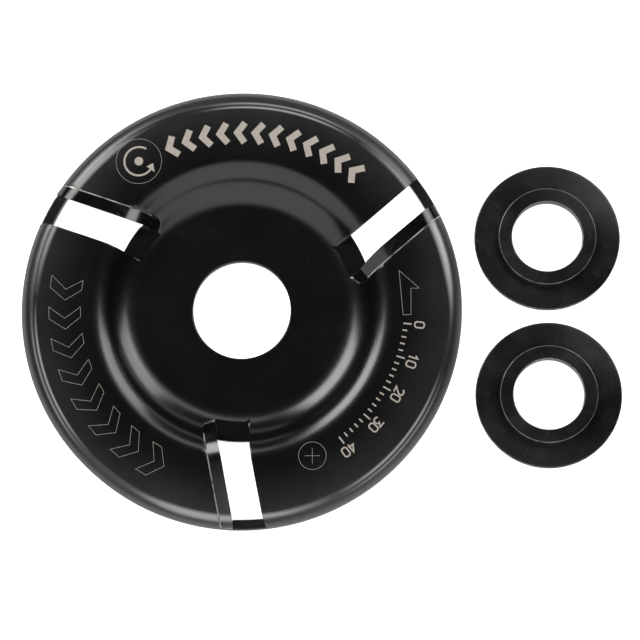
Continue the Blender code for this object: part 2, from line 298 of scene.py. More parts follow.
# Where the cutters end, clear of what they cut
CUTTER_TOP = OVERALL_HEIGHT + CUTTER_REACH
CUTTER_END = DISC_RADIUS + CUTTER_REACH
CUTTER_START = HUB_FLAT_RADIUS - CUTTER_REACH


# Shapes
def arc(centre, radius, start, end, steps):
    """Points of an arc in a plane, both ends included."""
    points = []
    for i in range(steps + 1):
        angle = start + (end - start) * i / steps
        points.append((centre[0] + radius * math.cos(angle), centre[1] + radius * math.sin(angle)))
    return points


def rounded(corner, radius, quarter):
    """Points of a quarter round at an outer corner; quarter 0 turns from +radius to +height."""
    start = quarter * math.pi / 2
    out = (1, -1, -1, 1)[quarter], (1, 1, -1, -1)[quarter]
    centre = (corner[0] - out[0] * radius, corner[1] - out[1] * radius)
    return arc(centre, radius, start, start + math.pi / 2, ROUND_STEPS)


def top_height(radius):
    """Height of the turned upper surface at a distance from the disc's axis."""
    if radius <= HUB_FLAT_RADIUS:
        return HUB_THICKNESS
    if radius <= SLOPE_TURN_RADIUS:
        out = radius - HUB_FLAT_RADIUS
        return HUB_THICKNESS + FOOT_RADIUS - math.sqrt(FOOT_RADIUS**2 - out**2)
    if radius <= CREST_RADIUS:
        back = CREST_RADIUS - radius
        return CREST_HEIGHT - BROW_RADIUS + math.sqrt(BROW_RADIUS**2 - back**2)
    if radius <= SHOULDER_START_RADIUS:
        out = radius - CREST_RADIUS
        return CROWN_CENTRE_HEIGHT + math.sqrt(CROWN_RADIUS**2 - out**2)
    out = min(radius - SHOULDER_CENTRE_RADIUS, SHOULDER_RADIUS)
    return SHOULDER_CENTRE_HEIGHT + math.sqrt(SHOULDER_RADIUS**2 - out**2)


def radius_at_height(height):
    """Distance from the axis at which the shoulder has come down to a height."""
    up = height - SHOULDER_CENTRE_HEIGHT
    return SHOULDER_CENTRE_RADIUS + math.sqrt(SHOULDER_RADIUS**2 - up**2)


def disc_outline():
    """Outline of the disc body, anticlockwise from the bore's lower edge."""
    up = math.pi / 2
    points = rounded((BORE_RADIUS, 0.0), BORE_ROUND, 2)
    points += rounded((DISC_RADIUS, 0.0), RIM_ROUND, 3)
    shoulder_centre = (SHOULDER_CENTRE_RADIUS, SHOULDER_CENTRE_HEIGHT)
    points += arc(shoulder_centre, SHOULDER_RADIUS, 0.0, up - CROWN_ANGLE, ARC_STEPS)
    crown_centre = (CREST_RADIUS, CROWN_CENTRE_HEIGHT)
    points += arc(crown_centre, CROWN_RADIUS, up - CROWN_ANGLE, up, ARC_STEPS)[1:]
    brow_centre = (CREST_RADIUS, CREST_HEIGHT - BROW_RADIUS)
    points += arc(brow_centre, BROW_RADIUS, up, up + SLOPE_ANGLE, ARC_STEPS)[1:]
    foot_centre = (HUB_FLAT_RADIUS, HUB_THICKNESS + FOOT_RADIUS)
    points += arc(foot_centre, FOOT_RADIUS, SLOPE_ANGLE - up, -up, ARC_STEPS)[1:]
    points += rounded((BORE_RADIUS, HUB_THICKNESS), BORE_ROUND, 1)
    return points


def groove_outline():
    """Outline of the groove in the disc's back, with round inner corners."""
    points = [(GROOVE_INNER_RADIUS, -CUTTER_REACH), (GROOVE_OUTER_RADIUS, -CUTTER_REACH)]
    points += rounded((GROOVE_OUTER_RADIUS, GROOVE_DEPTH), GROOVE_FILLET, 0)
    points += rounded((GROOVE_INNER_RADIUS, GROOVE_DEPTH), GROOVE_FILLET, 1)
    return points


def ring_outline(flange_radius, top):
    """Outline of a reducing ring: slightly domed flange below, spigot above, straight bore."""
    up = math.pi / 2
    dome_centre = (
        SPIGOT_RADIUS - FLANGE_DOME_RADIUS * math.sin(FLANGE_ROOT_LEAN),
        RING_FLANGE_THICKNESS - FLANGE_DOME_RADIUS * math.cos(FLANGE_ROOT_LEAN),
    )
    rim_lean = math.asin((flange_radius - RING_ROUND - dome_centre[0]) / FLANGE_DOME_RADIUS)
    dome = arc(dome_centre, FLANGE_DOME_RADIUS, up - rim_lean, up - FLANGE_ROOT_LEAN, ARC_STEPS)
    points = rounded((RING_BORE_RADIUS, 0.0), RING_ROUND, 2)
    points += rounded((flange_radius, 0.0), RING_ROUND, 3)
    points += rounded((flange_radius, dome[0][1]), RING_ROUND, 0)[:-1]
    points += dome
    points += rounded((SPIGOT_RADIUS, top), RING_ROUND, 0)
    points += rounded((RING_BORE_RADIUS, top), RING_ROUND, 1)
    return points


def turned(outline, steps, axis):
    """A closed (radius, height) outline turned round an upright axis."""
    bm = bmesh.new()
    verts = [bm.verts.new((radius, 0.0, height)) for radius, height in outline]
    edges = [bm.edges.new((verts[i - 1], verts[i])) for i in range(len(verts))]
    bmesh.ops.spin(
        bm,
        geom=verts + edges,
        cent=(0.0, 0.0, 0.0),
        axis=(0.0, 0.0, 1.0),
        angle=2 * math.pi,
        steps=steps,
        use_merge=True,
    )
    bmesh.ops.translate(bm, verts=bm.verts, vec=(axis.x, axis.y, 0.0))
    return bm


def lofted(sections, place):
    """Closed sections joined one to the next and capped at both ends, moved to their place."""
    bm = bmesh.new()
    rings = [[bm.verts.new(place @ Vector(point)) for point in section] for section in sections]
    corners = len(rings[0])
    for near, far in zip(rings, rings[1:]):
        for i in range(corners):
            bm.faces.new((near[i - 1], near[i], far[i], far[i - 1]))
    bm.faces.new(rings[0])
    bm.faces.new(rings[-1])
    return bm


def block(low, high, place):
    """A cuboid between two corners, moved to its place."""
    corners = [(low[0], low[1]), (high[0], low[1]), (high[0], high[1]), (low[0], high[1])]
    return lofted([[(x, y, z) for x, y in corners] for z in (low[2], high[2])], place)


def piece_from(name, bm):
    """Put a bmesh in the scene with its faces pointing out and its round faces smooth."""
    bm.normal_update()
    bmesh.ops.recalc_face_normals(bm, faces=bm.faces)
    mesh = bpy.data.meshes.new(name)
    bm.to_mesh(mesh)
    bm.free()
    mesh.shade_smooth()
    mesh.set_sharp_from_angle(angle=SHARP_ANGLE)
    piece = bpy.data.objects.new(name, mesh)
    bpy.context.scene.collection.objects.link(piece)
    return piece


def carve(piece, cutters):
    """Take the cutters' shapes out of a piece for good, and remove the cutters."""
    for cutter in cutters:
        modifier = piece.modifiers.new(cutter.name, "BOOLEAN")
        modifier.operation = "DIFFERENCE"
        modifier.solver = "MANIFOLD"
        modifier.object = cutter
    graph = bpy.context.evaluated_depsgraph_get()
    carved = bpy.data.meshes.new_from_object(piece.evaluated_get(graph))
    piece.modifiers.clear()
    piece.data = carved
    for cutter in cutters:
        bpy.data.objects.remove(cutter, do_unlink=True)


def sharp_edges(bm):
    """Edges at which two faces meet at more than the sharp angle."""
    return [e for e in bm.edges if e.is_manifold and e.calc_face_angle() > SHARP_ANGLE]


def sharp_verts(bm):
    """Points on sharp edges, in the same order in every run."""
    bm.verts.index_update()
    found = {v for e in sharp_edges(bm) for v in e.verts}
    return sorted(found, key=lambda vert: vert.index)


def weld_slivers(bm):
    """Pull the points close beside a cut onto it, so that no slivers of faces are left along it."""
    bmesh.ops.remove_doubles(bm, verts=sharp_verts(bm), dist=WELD_REACH / 2)
    cut_verts = sharp_verts(bm)
    tree = KDTree(len(cut_verts))
    for i, vert in enumerate(cut_verts):
        tree.insert(vert.co, i)
    tree.balance()
    on_cut = set(cut_verts)
    onto = {}
    for vert in [v for v in bm.verts if v not in on_cut]:
        _, i, distance = tree.find(vert.co)
        if distance < WELD_REACH:
            onto[vert] = cut_verts[i]
    bmesh.ops.weld_verts(bm, targetmap=onto)


def join_quads(bm):
    """Put pairs of level triangles that a cut left back together, so that shading stays even."""
    bmesh.ops.join_triangles(
        bm,
        faces=bm.faces,
        angle_face_threshold=LEVEL_ANGLE,
        angle_shape_threshold=math.pi,
    )


def ordered_copy(mesh):
    """Points and faces of a mesh, its edges made anew in the same order in every run."""
    bm = bmesh.new()
    verts = [bm.verts.new(vert.co) for vert in mesh.vertices]
    for face in mesh.polygons:
        bm.faces.new([verts[i] for i in face.vertices])
    bm.normal_update()
    return bm


def ease_edges(piece):
    """Round off every sharp edge a little, and mark the rounding for the wear in the finishes."""
    bm = ordered_copy(piece.data)
    worn = bm.faces.layers.float.new("eased_edge")
    bmesh.ops.dissolve_degenerate(bm, edges=bm.edges, dist=NO_LENGTH)
    join_quads(bm)
    weld_slivers(bm)
    bmesh.ops.dissolve_degenerate(bm, edges=bm.edges, dist=NO_LENGTH)
    rounding = bmesh.ops.bevel(
        bm,
        geom=sharp_edges(bm),
        offset=EASED_EDGE,
        offset_type="OFFSET",
        segments=2,
        profile=0.5,
        affect="EDGES",
        clamp_overlap=True,
    )
    for face in rounding["faces"]:
        face[worn] = 1.0
    bm.to_mesh(piece.data)
    bm.free()
    piece.data.shade_smooth()
    piece.data.set_sharp_from_angle(angle=SHARP_ANGLE)
    keep_flats(piece)


def keep_flats(piece):
    """Shade wide faces flat up to their roundings."""
    weigh = piece.modifiers.new("face_weighted_normals", "WEIGHTED_NORMAL")
    weigh.keep_sharp = True


def slot_place(angle):
    """Turn from a slot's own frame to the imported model's."""
    return Matrix.Translation((DISC_AXIS.x, DISC_AXIS.y, 0.0)) @ Matrix.Rotation(angle, 4, "Z")


# Disc body
def seat_sections():
    """Both ends of the seat cutter, whose inner corner is round as a milling cutter leaves it."""
    corner = (SEAT_INNER_END + SEAT_CORNER_RADIUS, SEAT_WALL + SEAT_CORNER_RADIUS)
    outline = [(CUTTER_END, -EDGE_OFFSET), (SEAT_INNER_END, -EDGE_OFFSET)]
    outline += arc(corner, SEAT_CORNER_RADIUS, math.pi, 3 * math.pi / 2, ROUND_STEPS * 2)
    outline.append((CUTTER_END, SEAT_WALL))
    return [[(along, across, up) for along, across in outline] for up in (SEAT_FLOOR, CUTTER_TOP)]


def pocket_sections():
    """Both ends of the pocket cutter, whose far wall leans back under the ridge to clear shavings."""
    near_wall = -EDGE_OFFSET - CUTTER_OVERLAP
    sections = []
    for up in (POCKET_FLOOR, CUTTER_TOP):
        far_wall = SLOT_FAR_WALL + (CREST_HEIGHT - up) * math.tan(SLOT_WALL_LEAN)
        outline = [
            (CUTTER_START, near_wall),
            (CUTTER_END, near_wall),
            (CUTTER_END, far_wall),
            (CUTTER_START, far_wall),
        ]
        sections.append([(along, across, up) for along, across in outline])
    return sections


def make_disc_body():
    """Turned body with a pocket, a tip's seat and a see-through window in each slot."""
    body = piece_from("disc_body_finished", turned(disc_outline(), DISC_STEPS, DISC_AXIS))
    groove = piece_from("groove_cutter", turned(groove_outline(), DISC_STEPS, DISC_AXIS))
    webs = []
    cutters = []
    for i, angle in enumerate(SLOT_ANGLES, 1):
        place = slot_place(angle)
        web_low = (CUTTER_START, WEB_FRONT - WEB_THICKNESS, -2 * CUTTER_REACH)
        web_high = (CUTTER_END, WEB_FRONT, CUTTER_TOP)
        webs.append(piece_from(f"web_keeper_{i}", block(web_low, web_high, place)))
        cutters.append(piece_from(f"pocket_cutter_{i}", lofted(pocket_sections(), place)))
        cutters.append(piece_from(f"seat_cutter_{i}", lofted(seat_sections(), place)))
    carve(groove, webs)
    carve(body, cutters + [groove])
    ease_edges(body)
    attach(body, "disc")
    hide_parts("disc_body")
    return body


# Carbide tips and braze
def along_slot(radius, across):
    """Distance along a slot, from the line square to it, of a point at a radius."""
    return math.sqrt(radius**2 - across**2)


def rake_across(height):
    """Distance of the leaning rake face from the slot's axis line at a height."""
    return -EDGE_OFFSET - (OVERALL_HEIGHT - height) * math.tan(RAKE_ANGLE)


def edge_point(radius):
    """Cutting edge at a distance from the disc's axis: it stands proud, on the rake face."""
    height = top_height(radius) + TIP_PROUD
    across = rake_across(height)
    return (along_slot(radius, across), across, height)


def spread(first, last):
    """Values from one end to the other, closer together towards the rim."""
    parts = [math.sin(math.pi / 2 * i / TIP_STATIONS) for i in range(TIP_STATIONS + 1)]
    return [first + (last - first) * part for part in parts]


def tip_sections():
    """Sections of a carbide tip from its inner end to the rim, in the slot's own frame."""
    # The edge's distance across depends on its height, so its inner end is found in rounds
    edge_inner = math.hypot(TIP_INNER_END, EDGE_OFFSET)
    for _ in range(EDGE_ROUNDS):
        edge_inner = math.hypot(TIP_INNER_END, edge_point(edge_inner)[1])
    back_radii = spread(math.hypot(TIP_INNER_END, TIP_BACK), radius_at_height(TIP_END_HEIGHT))
    edge_radii = spread(edge_inner, radius_at_height(TIP_END_HEIGHT - TIP_PROUD))
    sections = []
    for back_radius, edge_radius in zip(back_radii, edge_radii):
        back = along_slot(back_radius, TIP_BACK)
        edge = edge_point(edge_radius)
        sections.append(
            [
                (back, TIP_BACK, TIP_FLOOR),
                (back, TIP_BACK, top_height(back_radius)),
                edge,
                (edge[0], rake_across(TIP_FLOOR), TIP_FLOOR),
            ]
        )
    return sections


def braze_sections():
    """Sections of the braze behind and under a tip, in the slot's own frame."""
    outer = SEAT_WALL + BRAZE_CLEARANCE
    inner = outer + BRAZE_THICKNESS
    front = WEB_FRONT - BRAZE_CLEARANCE
    low = SEAT_FLOOR + BRAZE_CLEARANCE
    high = low + BRAZE_THICKNESS
    sections = []
    for radius in spread(math.hypot(TIP_INNER_END, outer), radius_at_height(TIP_END_HEIGHT)):
        along = along_slot(radius, outer)
        top = top_height(radius) - BRAZE_CLEARANCE
        sections.append(
            [
                (along, outer, low),
                (along, outer, top),
                (along, inner, top),
                (along, inner, high),
                (along, front, high),
                (along, front, low),
            ]
        )
    return sections


def make_tips():
    """A finished tip and its braze in each slot."""
    tips = []
    brazes = []
    for i, angle in enumerate(SLOT_ANGLES, 1):
        tip = piece_from(f"carbide_tip_{i}_finished", lofted(tip_sections(), slot_place(angle)))
        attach(tip, "disc")
        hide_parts(f"carbide_tip_{i}")
        tips.append(tip)
        braze = piece_from(f"braze_{i}_finished", lofted(braze_sections(), slot_place(angle)))
        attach(braze, "disc")
        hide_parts(f"braze_foil_{i}")
        brazes.append(braze)
    return tips, brazes


# Reducing rings
def mark_roundings(ring):
    """Mark the faces of a turned ring's rounded edges, which are neither level nor upright."""
    worn = ring.data.attributes.new("eased_edge", "FLOAT", "FACE")
    for face in ring.data.polygons:
        leans = LEVEL_OR_UPRIGHT < abs(face.normal.z) < 1.0 - LEVEL_OR_UPRIGHT
        worn.data[face.index].value = 1.0 if leans else 0.0


def make_rings():
    """Two finished rings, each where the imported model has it, with their axes."""
    rings = []
    for i in (1, 2):
        low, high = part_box(f"reducing_ring_{i}")
        axis = (low + high) / 2
        outline = ring_outline((high.x - low.x) / 2, high.z)
        ring = piece_from(f"reducing_ring_{i}_finished", turned(outline, RING_STEPS, axis))
        mark_roundings(ring)
        keep_flats(ring)
        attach(ring, f"ring_{i}")
        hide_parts(f"reducing_ring_{i}")
        rings.append((ring, axis))
    return rings


# Etched marks
def around(radius, degrees):
    """Place on the ridge, from the disc's axis."""
    angle = math.radians(degrees)
    return Vector((radius * math.cos(angle), radius * math.sin(angle)))


def laid_round(radius, degrees, points):
    """Points drawn flat, first along the disc's turning and then outwards, laid round its axis."""
    return [around(radius + out, degrees + math.degrees(on / radius)) for on, out in points]


def stepped(points):
    """A line's points with more put between them, so that it can follow the ridge's curve."""
    finer = [points[0]]
    for start, end in zip(points, points[1:]):
        steps = max(1, math.ceil((end - start).length / MARK_STEP))
        finer += [start.lerp(end, i / steps) for i in range(1, steps + 1)]
    return finer


def is_loop(points):
    """Whether a drawn line ends where it starts."""
    return (points[0] - points[-1]).length < SAME_PLACE


def line_sides(points, width):
    """Both sides of a drawn line; its corners are mitred, and a loop's ends meet."""
    loop = is_loop(points)
    last = len(points) - 1
    left = []
    right = []
    for i, point in enumerate(points):
        before = points[i - 1] if i > 0 else (points[last - 1] if loop else None)
        after = points[i + 1] if i < last else (points[1] if loop else None)
        ahead = [(b - a).normalized() for a, b in ((before, point), (point, after)) if a and b]
        middle = sum(ahead, Vector((0.0, 0.0))).normalized()
        mitre = max(middle.dot(ahead[0]), LEAST_MITRE_COSINE)
        side = Vector((-middle.y, middle.x)) * width / 2 / mitre
        left.append(point + side)
        right.append(point - side)
    return left, right


def on_ridge(point, lift):
    """A flat place put on the disc's upper surface."""
    return Vector((DISC_AXIS.x + point.x, DISC_AXIS.y + point.y, top_height(point.length) + lift))


def etch_line(bm, points, width):
    """Add a drawn line as a thin closed strip on the ridge; a loop runs on into its own start."""
    points = stepped(points)
    loop = is_loop(points)
    left, right = line_sides(points, width)
    rows = []
    for one, other in zip(left, right):
        corners = [(one, MARK_LIFT), (other, MARK_LIFT), (other, -MARK_SINK), (one, -MARK_SINK)]
        rows.append([on_ridge(point, lift) for point, lift in corners])
    if loop:
        rows.pop()
    rows = [[bm.verts.new(corner) for corner in row] for row in rows]
    following = rows[1:] + (rows[:1] if loop else [])
    for near, far in zip(rows, following):
        for i in range(len(near)):
            bm.faces.new((near[i - 1], near[i], far[i], far[i - 1]))
    if not loop:
        bm.faces.new(rows[0])
        bm.faces.new(rows[-1])


def etch_fill(bm, points):
    """Add a small filled shape as a thin closed plate on the ridge."""
    top = [bm.verts.new(on_ridge(point, MARK_LIFT)) for point in points]
    under = [bm.verts.new(on_ridge(point, -MARK_SINK)) for point in points]
    for i in range(len(points)):
        bm.faces.new((top[i - 1], top[i], under[i], under[i - 1]))
    bm.faces.new(top)
    bm.faces.new(under)


def ring_of(centre, radius, steps, turn=360.0, start=0.0):
    """Points of a circle or of part of one."""
    return [centre + around(radius, start + turn * i / steps) for i in range(steps + 1)]


def etch_chevrons(bm):
    """A row of filled chevrons that point the way the disc turns."""
    shape = [
        (-CHEVRON_REACH, CHEVRON_HALF_HEIGHT),
        (0.0, 0.0),
        (-CHEVRON_REACH, -CHEVRON_HALF_HEIGHT),
    ]
    for degrees in CHEVRON_ANGLES:
        etch_line(bm, laid_round(CHEVRON_RADIUS, degrees, shape), CHEVRON_LINE)


def etch_arrowheads(bm):
    """A row of large arrowheads in outline."""
    loop = ARROWHEAD_OUTLINE + ARROWHEAD_OUTLINE[:1]
    for degrees in ARROWHEAD_ANGLES:
        etch_line(bm, laid_round(ARROWHEAD_RADIUS, degrees, loop), FINE_LINE)


def etch_turn_mark(bm):
    """A circle with an arrow turning in it: the way the disc turns."""
    centre = around(*TURN_MARK_PLACE)
    etch_line(bm, ring_of(centre, TURN_MARK_RADIUS, TURN_MARK_STEPS), FINE_LINE)
    sweep = ring_of(centre, TURN_ARC_RADIUS, TURN_ARC_STEPS, TURN_ARC_SWEEP, TURN_ARC_START)
    etch_line(bm, sweep, TURN_ARC_LINE)
    tip = around(TURN_ARC_RADIUS, TURN_HEAD_TIP)
    barbs = [around(TURN_ARC_RADIUS * part, TURN_HEAD_BACK) for part in TURN_HEAD_SPREAD]
    etch_fill(bm, [centre + point for point in (tip, *barbs)])
    etch_fill(bm, ring_of(centre, TURN_DOT_RADIUS, TURN_DOT_STEPS)[:-1])


def etch_centre_mark(bm):
    """A small circle with a cross in it."""
    centre = around(*CENTRE_MARK_PLACE)
    etch_line(bm, ring_of(centre, CENTRE_MARK_RADIUS, CENTRE_MARK_STEPS), FINE_LINE)
    for reach in (Vector((CENTRE_MARK_REACH, 0.0)), Vector((0.0, CENTRE_MARK_REACH))):
        etch_line(bm, [centre - reach, centre + reach], FINE_LINE)


def etch_pointer(bm):
    """A half arrow in outline."""
    loop = POINTER_OUTLINE + POINTER_OUTLINE[:1]
    etch_line(bm, [around(*place) for place in loop], FINE_LINE)


def etch_number(bm, text, degrees):
    """A number that reads clockwise, its top outwards, centred on an angle."""
    middle = (len(text) * DIGIT_PITCH - (DIGIT_PITCH - DIGIT_WIDTH)) / 2
    for i, digit in enumerate(text):
        points = []
        for x, y in DIGITS[digit]:
            on = -(x + i * DIGIT_PITCH - middle) * NUMBER_HEIGHT
            points.append((on, y * NUMBER_HEIGHT))
        etch_line(bm, laid_round(NUMBER_RADIUS, degrees, points), NUMBER_LINE)


def etch_scale(bm):
    """A graduated arc with a number at each long tick."""
    for i in range(SCALE_TICKS):
        degrees = SCALE_START + SCALE_STEP * i
        numbered = i % TICKS_PER_NUMBER == 0
        reach = LONG_TICK if numbered else SHORT_TICK
        ends = [around(out, degrees) for out in (SCALE_RADIUS, SCALE_RADIUS + reach)]
        etch_line(bm, ends, NUMBER_LINE)
        if numbered:
            etch_number(bm, str(COUNT_PER_TICK * i), degrees)


def make_marks():
    """All etched marks as one thin piece on the disc."""
    bm = bmesh.new()
    etch_chevrons(bm)
    etch_arrowheads(bm)
    etch_turn_mark(bm)
    etch_centre_mark(bm)
    etch_pointer(bm)
    etch_scale(bm)
    marks = piece_from("etched_marks", bm)
    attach(marks, "disc")
    return marks


# Finishes: small helpers
def feed(tree, source, target):
    """Link an output to a socket, or set the socket to a plain value."""
    if isinstance(source, bpy.types.NodeSocket):
        tree.links.new(source, target)
    else:
        target.default_value = source


def maths_node(tree, kind, operation, values):
    """A maths node with its inputs fed."""
    node = tree.nodes.new(kind)
    node.operation = operation
    for value, socket in zip(values, node.inputs):
        feed(tree, value, socket)
    return node


def sums(tree, operation, *values):
    """Result of maths with numbers."""
    return maths_node(tree, "ShaderNodeMath", operation, values).outputs["Value"]


def vector_sums(tree, operation, *values):
    """Result of maths with vectors."""
    return maths_node(tree, "ShaderNodeVectorMath", operation, values).outputs["Vector"]


def length_of(tree, vector):
    """Length of a vector."""
    return maths_node(tree, "ShaderNodeVectorMath", "LENGTH", [vector]).outputs["Value"]


def ramp(tree, value, start, end, low=0.0, high=1.0):
    """A value eased from low to high while another goes from start to end."""
    node = tree.nodes.new("ShaderNodeMapRange")
    node.interpolation_type = "SMOOTHSTEP"
    feed(tree, value, node.inputs["Value"])
    feed(tree, start, node.inputs["From Min"])
    feed(tree, end, node.inputs["From Max"])
    feed(tree, low, node.inputs["To Min"])
    feed(tree, high, node.inputs["To Max"])
    return node.outputs["Result"]


def blended(tree, factor, first, second):
    """Colour between two colours."""
    node = tree.nodes.new("ShaderNodeMix")
    node.data_type = "RGBA"
    feed(tree, factor, node.inputs[MIX_FACTOR])
    for given, socket in ((first, MIX_FIRST), (second, MIX_SECOND)):
        colour = (*given, 1.0) if isinstance(given, tuple) else given
        feed(tree, colour, node.inputs[socket])
    return node.outputs[MIX_RESULT]


def own_place(tree):
    """Place in the piece's own frame."""
    return tree.nodes.new("ShaderNodeTexCoord").outputs["Object"]


def own_axes(tree):
    """Place in the piece's own frame as outputs X, Y and Z."""
    node = tree.nodes.new("ShaderNodeSeparateXYZ")
    feed(tree, own_place(tree), node.inputs["Vector"])
    return node.outputs


def noise(tree, place, scale, detail, roughness=0.5):
    """Noise at a place, so many waves to the metre."""
    node = tree.nodes.new("ShaderNodeTexNoise")
    node.inputs["Detail"].default_value = detail
    node.inputs["Roughness"].default_value = roughness
    feed(tree, place, node.inputs["Vector"])
    feed(tree, scale, node.inputs["Scale"])
    return node.outputs["Fac"]


def new_group(name, takes, gives):
    """An empty node group with named inputs (name: first value) and outputs."""
    group = bpy.data.node_groups.new(name, "ShaderNodeTree")
    for socket, value in takes.items():
        kind = "NodeSocketVector" if isinstance(value, tuple) else "NodeSocketFloat"
        group.interface.new_socket(socket, in_out="INPUT", socket_type=kind).default_value = value
    for socket in gives:
        group.interface.new_socket(socket, in_out="OUTPUT", socket_type="NodeSocketFloat")
    given = group.nodes.new("NodeGroupInput").outputs
    made = group.nodes.new("NodeGroupOutput").inputs
    return group, given, made


def placed(tree, group, **values):
    """Outputs of a group put in a material with its own values."""
    node = tree.nodes.new("ShaderNodeGroup")
    node.node_tree = group
    for name, value in values.items():
        feed(tree, value, node.inputs[name])
    return node.outputs


def above_groove(tree, height):
    """None of an effect as low as the groove in the disc's back, and all of it higher up."""
    return ramp(tree, height, GROOVE_DEPTH, FULL_EFFECT_HEIGHT)


# Finishes: effects that the finishes share
def make_coat_grain():
    """Fine ripple of a sprayed coat, and soft smears in its shine."""
    takes = {"Ripple": 2200.0, "Smear": 90.0}
    group, given, made = new_group("coat_grain", takes, ("Height", "Smears"))
    place = own_place(group)
    ripple = noise(group, place, given["Ripple"], detail=2.0)
    smears = noise(group, place, given["Smear"], detail=5.0, roughness=0.6)
    feed(group, ripple, made["Height"])
    feed(group, smears, made["Smears"])
    return group


def make_turned_lines():
    """Fine rings that a lathe leaves round an axis, and the distance from that axis."""
    takes = {"Axis": (0.0, 0.0, 0.0), "Pitch": 9000.0}
    group, given, made = new_group("turned_lines", takes, ("Lines", "Radius"))
    out = vector_sums(group, "SUBTRACT", own_place(group), given["Axis"])
    flat = vector_sums(group, "MULTIPLY", out, (1.0, 1.0, 0.0))
    radius = length_of(group, flat)
    lines = group.nodes.new("ShaderNodeTexNoise")
    lines.noise_dimensions = "1D"
    lines.inputs["Detail"].default_value = 3.0
    feed(group, radius, lines.inputs["W"])
    feed(group, given["Pitch"], lines.inputs["Scale"])
    feed(group, lines.outputs["Fac"], made["Lines"])
    feed(group, radius, made["Radius"])
    return group


def make_edge_wear():
    """Where the coat has worn off the eased edges, in patches."""
    group, given, made = new_group("edge_wear", {"Patches": 700.0, "Bare": 0.5}, ("Worn",))
    eased = group.nodes.new("ShaderNodeAttribute")
    eased.attribute_name = "eased_edge"
    patches = noise(group, own_place(group), given["Patches"], detail=3.0)
    patches = ramp(group, patches, start=0.35, end=0.65, low=0.25)
    worn = sums(group, "MULTIPLY", eased.outputs["Fac"], patches)
    feed(group, sums(group, "MULTIPLY", worn, given["Bare"]), made["Worn"])
    return group


def make_scuffs():
    """Fine scratches in three directions, broken into short lengths."""
    group, given, made = new_group("scuffs", {"Fineness": 1.0, "Cover": 0.5}, ("Scratches",))
    place = own_place(group)
    found = []
    for turn, along, across in SCUFF_WAYS:
        turned_to = group.nodes.new("ShaderNodeVectorRotate")
        turned_to.rotation_type = "Z_AXIS"
        turned_to.inputs["Angle"].default_value = turn
        feed(group, place, turned_to.inputs["Vector"])
        waves = (along, across, along)
        drawn_out = vector_sums(group, "MULTIPLY", turned_to.outputs["Vector"], waves)
        streaks = noise(group, drawn_out, given["Fineness"], detail=2.0)
        found.append(ramp(group, streaks, start=0.62, end=0.74))
    broken = ramp(group, noise(group, place, scale=260.0, detail=3.0), start=0.48, end=0.64)
    crossed = sums(group, "MAXIMUM", sums(group, "MAXIMUM", found[0], found[1]), found[2])
    covered = sums(group, "MULTIPLY", crossed, broken)
    feed(group, sums(group, "MULTIPLY", covered, given["Cover"]), made["Scratches"])
    return group


def make_painted_rim_highlight():
    """Painted highlight on the rim's shoulder, a pale band: broad beside each tip, two thin lines
    elsewhere.
    """
    group, given, made = new_group("painted_rim_highlight", {"Strength": 1.0}, ("Painted Highlight",))
    place = own_axes(group)
    x = sums(group, "SUBTRACT", place["X"], DISC_AXIS.x + HIGHLIGHT_OFF_AXIS[0])
    y = sums(group, "SUBTRACT", place["Y"], DISC_AXIS.y + HIGHLIGHT_OFF_AXIS[1])
    squares = sums(group, "ADD", sums(group, "MULTIPLY", x, x), sums(group, "MULTIPLY", y, y))
    radius = sums(group, "SQRT", squares)
    angle = sums(group, "SUBTRACT", sums(group, "ARCTAN2", y, x), HIGHLIGHT_START)
    turns = sums(group, "DIVIDE", angle, SLOT_ANGLES[1] - SLOT_ANGLES[0])
    turn = sums(group, "WRAP", turns, 1.0, 0.0)

    def away_from(middle):
        """Distance, outwards or inwards, from a circle round the axis."""
        return sums(group, "ABSOLUTE", sums(group, "SUBTRACT", radius, middle))

    inner_line = away_from(HIGHLIGHT_RADIUS - HIGHLIGHT_LINE_SPACING / 2)
    inner_line = ramp(group, inner_line, HIGHLIGHT_LINE_HALF_WIDTH, 0.0)
    outer_line = away_from(HIGHLIGHT_RADIUS + HIGHLIGHT_LINE_SPACING / 2)
    outer_line = ramp(group, outer_line, HIGHLIGHT_LINE_HALF_WIDTH, 0.0)
    outer_line = sums(group, "MULTIPLY", outer_line, HIGHLIGHT_OUTER_LINE)
    lines_begin = ramp(group, turn, *HIGHLIGHT_LINES_BEGIN)
    lines_end = ramp(group, turn, *HIGHLIGHT_LINES_END)
    lines = sums(group, "MAXIMUM", inner_line, outer_line)
    lines = sums(group, "MULTIPLY", lines, sums(group, "MULTIPLY", lines_begin, lines_end))

    before_tip = ramp(group, turn, *HIGHLIGHT_BEFORE_TIP)
    after_tip = ramp(group, turn, *HIGHLIGHT_AFTER_TIP)
    opening = ramp(group, before_tip, 0.0, 1.0, HIGHLIGHT_LEAST_REACH, HIGHLIGHT_REACH)
    trailing = ramp(group, after_tip, 0.0, HIGHLIGHT_TRAIL_OPENS, 0.0, HIGHLIGHT_TRAIL_REACH)
    reach = sums(group, "MAXIMUM", opening, trailing)
    middle = ramp(group, turn, *HIGHLIGHT_SHIFTS, HIGHLIGHT_RADIUS + HIGHLIGHT_TRAIL_SHIFT, HIGHLIGHT_RADIUS)
    broad = ramp(group, sums(group, "SUBTRACT", reach, away_from(middle)), 0.0, HIGHLIGHT_FADE)
    broad = sums(group, "MULTIPLY", broad, sums(group, "MAXIMUM", before_tip, after_tip))

    painted_highlight = sums(group, "MAXIMUM", broad, lines)
    painted_highlight = sums(group, "MULTIPLY", painted_highlight, above_groove(group, place["Z"]))
    feed(group, sums(group, "MULTIPLY", painted_highlight, given["Strength"]), made["Painted Highlight"])
    return group


COAT_GRAIN = make_coat_grain()
TURNED_LINES = make_turned_lines()
EDGE_WEAR = make_edge_wear()
SCUFFS = make_scuffs()
PAINTED_RIM_HIGHLIGHT = make_painted_rim_highlight()


